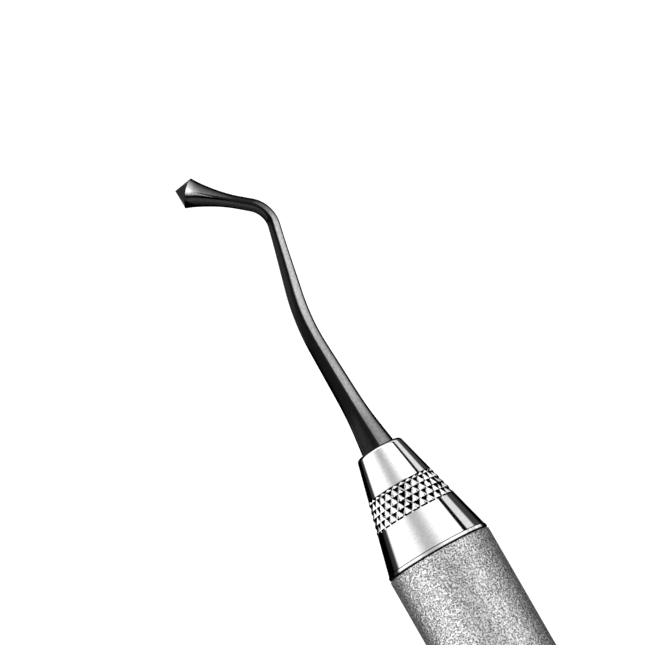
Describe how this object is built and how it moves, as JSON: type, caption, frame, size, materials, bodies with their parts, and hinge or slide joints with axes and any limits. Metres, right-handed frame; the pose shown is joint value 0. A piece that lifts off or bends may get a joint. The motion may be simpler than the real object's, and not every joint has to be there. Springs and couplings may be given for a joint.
{
  "type": "clay modeling tool",
  "caption": "Double-ended modelling tool: round tubular handle, a tapered knurled ferrule at each end, and bent tapered shanks with flared heads ending in cone points.",
  "frame": {"origin": "middle of the handle, on its axis", "axes": "+X along the handle to the front working end; +Y the side that the front head leans to; +Z square to the plane of the bends, up when the tool lies with its bends flat"},
  "size_m": [0.1716, 0.0094, 0.0094],
  "materials": {
    "blasted_steel": "bead blasted, matt",
    "polished_steel": "polished",
    "black_coating": "hard black coating, glossy"
  },
  "bodies": {
    "root": {"handle_tube": "blasted_steel", "front_ferrule": "polished_steel", "rear_ferrule": "polished_steel", "front_working_end": "black_coating", "rear_working_end": "black_coating"}
  },
  "joints": []
}
